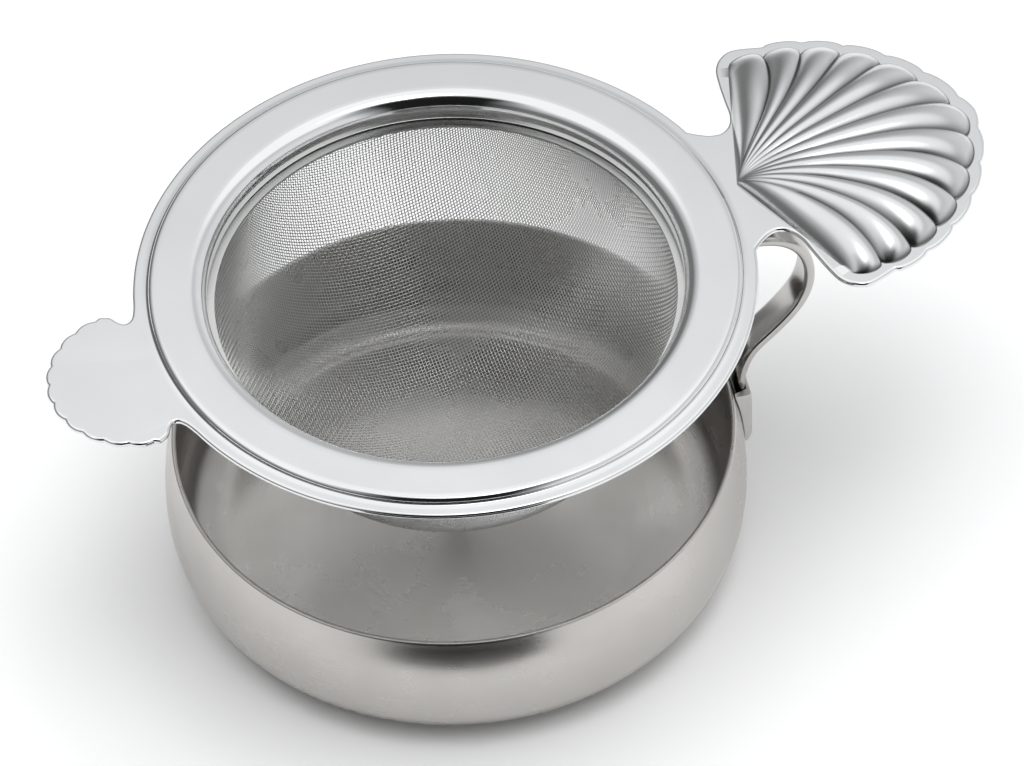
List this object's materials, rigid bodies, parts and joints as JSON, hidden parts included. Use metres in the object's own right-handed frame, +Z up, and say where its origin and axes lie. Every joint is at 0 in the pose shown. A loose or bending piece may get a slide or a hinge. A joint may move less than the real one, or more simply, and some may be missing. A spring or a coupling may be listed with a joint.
{
  "type": "tea strainer",
  "caption": "Steel tea strainer: ringed mesh bowl with a shell handle and a rest tab, lifting out of a drip bowl stand with an ear-shaped arm.",
  "frame": {"origin": "centre of the drip bowl's flat underside, on the axis that the bowl, the holder ring and the strainer share", "axes": "+X from the strainer's axis towards its shell handle, +Z up, +Y to the left of the handle seen from above"},
  "size_m": [0.1246, 0.078, 0.0513],
  "materials": {
    "polished_steel": "polished stainless steel with a faint satin haze",
    "satin_steel": "spun stainless steel, satin outside and finely brushed inside",
    "strip_steel": "tumbled stainless steel strap with round edges",
    "woven_mesh": "plain-woven fine stainless wire mesh"
  },
  "bodies": {
    "stand": {"drip_bowl": "satin_steel", "socket_lug": "satin_steel", "ear_arm": "strip_steel", "holder_ring": "strip_steel"},
    "seat": {"clamp_ring": "satin_steel"},
    "strainer": {"rim_plate": "polished_steel", "mesh_basket": "woven_mesh"}
  },
  "joints": [
    {"name": "strainer_lift", "type": "slide", "parent": "stand", "child": "seat", "axis": [0, 0, 1], "range_m": [0, 0.045]},
    {"name": "strainer_turn", "type": "hinge", "parent": "seat", "child": "strainer", "pos_m": [0, 0, 0.0474], "axis": [0, 0, 1], "continuous": true}
  ]
}
